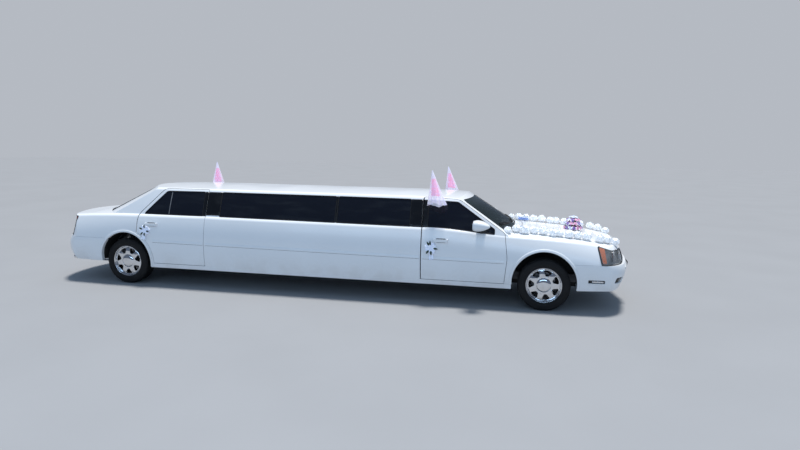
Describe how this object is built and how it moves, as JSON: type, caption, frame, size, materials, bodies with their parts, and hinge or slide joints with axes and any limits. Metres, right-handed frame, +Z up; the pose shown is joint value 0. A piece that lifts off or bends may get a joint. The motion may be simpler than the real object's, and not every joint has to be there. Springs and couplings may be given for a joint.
{
  "type": "stretch limousine",
  "caption": "White stretch limousine with opening doors, hood and trunk lid, steered front wheels and wedding dressing of tulle cones, bows and a hood garland.",
  "frame": {"origin": "on the ground under the middle of the overall length and width", "axes": "+X forward along the car, +Y to the car's left, +Z up"},
  "size_m": [8.3071, 2.2146, 1.758],
  "materials": {
    "body_paint": "gloss",
    "tinted_glass": "gloss",
    "underbody_paint": "matt",
    "chrome": "polished",
    "black_plastic": "matt",
    "headlamp_lens": "clear",
    "tail_lamp_lens": "clear",
    "tyre_rubber": "matt",
    "cast_metal": "rough",
    "steel": "satin",
    "grey_leather": "satin",
    "grey_trim": "matt",
    "wood_veneer": "gloss",
    "tulle": "sheer"
  },
  "bodies": {
    "body": {"floor_pan": "underbody_paint", "side_panels": "body_paint", "quarter_panels": "body_paint", "front_fenders": "body_paint", "cowl": "body_paint", "roof": "body_paint", "windscreen": "tinted_glass", "rear_window": "tinted_glass", "side_glass": "tinted_glass", "front_bumper": "body_paint", "rear_bumper": "body_paint", "grille": "chrome", "nose_panel": "body_paint", "headlamps": "headlamp_lens", "tail_lamps": "tail_lamp_lens", "wheel_liners": "black_plastic", "engine": "cast_metal", "front_suspension": "cast_metal", "rear_axle": "cast_metal", "exhaust": "steel", "fuel_tank": "steel", "dashboard": "grey_trim", "front_seats": "grey_leather", "partition": "grey_trim", "lounge_seats": "grey_leather", "bar_console": "wood_veneer"},
    "hood": {"hood": "body_paint", "hood_garland": "tulle"},
    "trunk_lid": {"trunk_lid": "body_paint"},
    "steering_wheel": {"steering_wheel": "black_plastic"},
    "front_right_door": {"door_front_right": "body_paint", "glass_front_right": "tinted_glass", "dressing_front_right": "tulle", "mirror_right": "body_paint"},
    "front_right_wheel": {"tyre_front_right": "tyre_rubber", "rim_front_right": "chrome"},
    "front_left_door": {"door_front_left": "body_paint", "glass_front_left": "tinted_glass", "dressing_front_left": "tulle", "mirror_left": "body_paint"},
    "front_left_wheel": {"tyre_front_left": "tyre_rubber", "rim_front_left": "chrome"},
    "rear_right_door": {"door_rear_right": "body_paint", "glass_rear_right": "tinted_glass", "dressing_rear_right": "tulle"},
    "rear_right_wheel": {"tyre_rear_right": "tyre_rubber", "rim_rear_right": "chrome"},
    "rear_left_door": {"door_rear_left": "body_paint", "glass_rear_left": "tinted_glass", "dressing_rear_left": "tulle"},
    "rear_left_wheel": {"tyre_rear_left": "tyre_rubber", "rim_rear_left": "chrome"},
    "right_knuckle": {"knuckle_right": "cast_metal"},
    "left_knuckle": {"knuckle_left": "cast_metal"}
  },
  "joints": [
    {"name": "front_right_door_hinge", "type": "hinge", "parent": "body", "child": "front_right_door", "pos_m": [2.503, -0.94, 0.7], "axis": [0, 0, 1], "range_deg": [0, 65]},
    {"name": "front_left_door_hinge", "type": "hinge", "parent": "body", "child": "front_left_door", "pos_m": [2.503, 0.94, 0.7], "axis": [0, 0, -1], "range_deg": [0, 65]},
    {"name": "rear_right_door_hinge", "type": "hinge", "parent": "body", "child": "rear_right_door", "pos_m": [-1.681, -0.952, 0.7], "axis": [0, 0, 1], "range_deg": [0, 65]},
    {"name": "rear_left_door_hinge", "type": "hinge", "parent": "body", "child": "rear_left_door", "pos_m": [-1.681, 0.952, 0.7], "axis": [0, 0, -1], "range_deg": [0, 65]},
    {"name": "hood_hinge", "type": "hinge", "parent": "body", "child": "hood", "pos_m": [2.593, 0, 0.975], "axis": [0, -1, 0], "range_deg": [0, 50]},
    {"name": "trunk_lid_hinge", "type": "hinge", "parent": "body", "child": "trunk_lid", "pos_m": [-3.599, 0, 1.048], "axis": [0, 1, 0], "range_deg": [0, 75]},
    {"name": "left_steering", "type": "hinge", "parent": "body", "child": "left_knuckle", "pos_m": [3.073, 0.69, 0.332], "axis": [0, 0, 1], "range_deg": [-35, 35]},
    {"name": "front_left_wheel_spin", "type": "hinge", "parent": "left_knuckle", "child": "front_left_wheel", "pos_m": [3.073, 0.7965, 0.332], "axis": [0, 1, 0], "continuous": true},
    {"name": "rear_left_wheel_spin", "type": "hinge", "parent": "body", "child": "rear_left_wheel", "pos_m": [-2.904, 0.79, 0.332], "axis": [0, 1, 0], "continuous": true},
    {"name": "right_steering", "type": "hinge", "parent": "body", "child": "right_knuckle", "pos_m": [3.073, -0.69, 0.332], "axis": [0, 0, 1], "range_deg": [-35, 35]},
    {"name": "front_right_wheel_spin", "type": "hinge", "parent": "right_knuckle", "child": "front_right_wheel", "pos_m": [3.073, -0.7965, 0.332], "axis": [0, 1, 0], "continuous": true},
    {"name": "rear_right_wheel_spin", "type": "hinge", "parent": "body", "child": "rear_right_wheel", "pos_m": [-2.904, -0.79, 0.332], "axis": [0, 1, 0], "continuous": true},
    {"name": "steering_wheel_turn", "type": "hinge", "parent": "body", "child": "steering_wheel", "pos_m": [2.063, 0.37, 0.905], "axis": [-0.9135, 0, 0.4067], "range_deg": [-525, 525]}
  ],
  "couplings": [
    {"joint": "right_steering", "follows": "left_steering", "ratio": 1},
    {"joint": "steering_wheel_turn", "follows": "left_steering", "ratio": 15}
  ]
}
